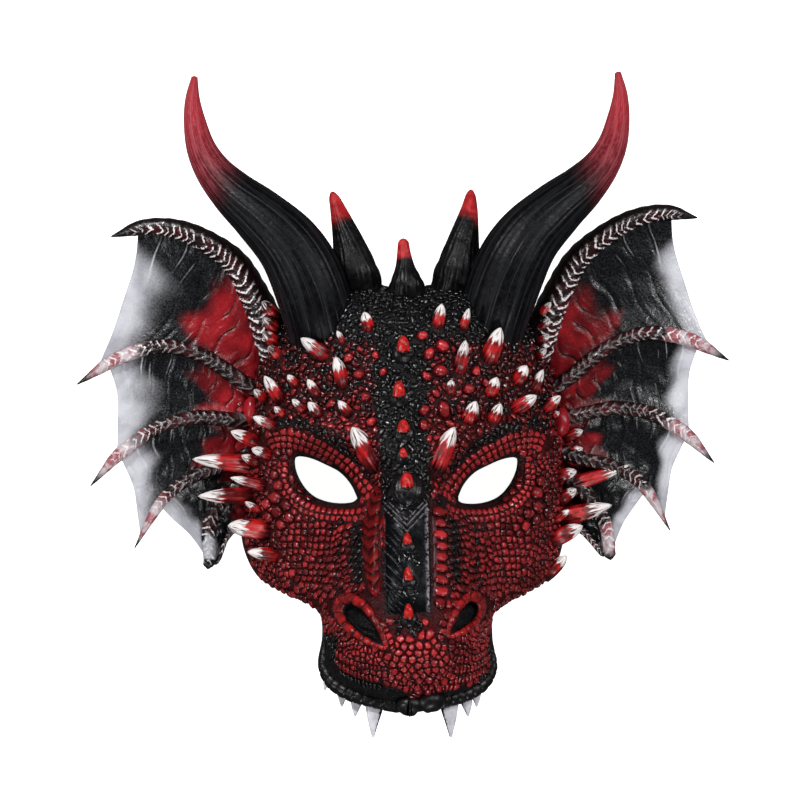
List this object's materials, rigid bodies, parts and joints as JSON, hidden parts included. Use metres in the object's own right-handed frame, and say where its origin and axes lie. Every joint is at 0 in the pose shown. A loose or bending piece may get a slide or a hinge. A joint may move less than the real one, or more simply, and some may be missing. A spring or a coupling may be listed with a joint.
{
  "type": "dragon mask",
  "caption": "Moulded foam half mask of a horned dragon's head with open eyes, web ears, spikes, a long snout and teeth.",
  "frame": {"origin": "on the surface that the mask lies on, below the middle of its bounding box", "axes": "+Z out of the face, +Y towards the horn tips, +X towards the viewer's right; the mask lies on its back"},
  "size_m": [0.338, 0.3368, 0.1052],
  "materials": {
    "painted_foam": "skinned foam painted crimson over black, with silver dry-brushed spike tips, teeth and ear margins"
  },
  "bodies": {
    "root": {"mask": "painted_foam"}
  },
  "joints": []
}
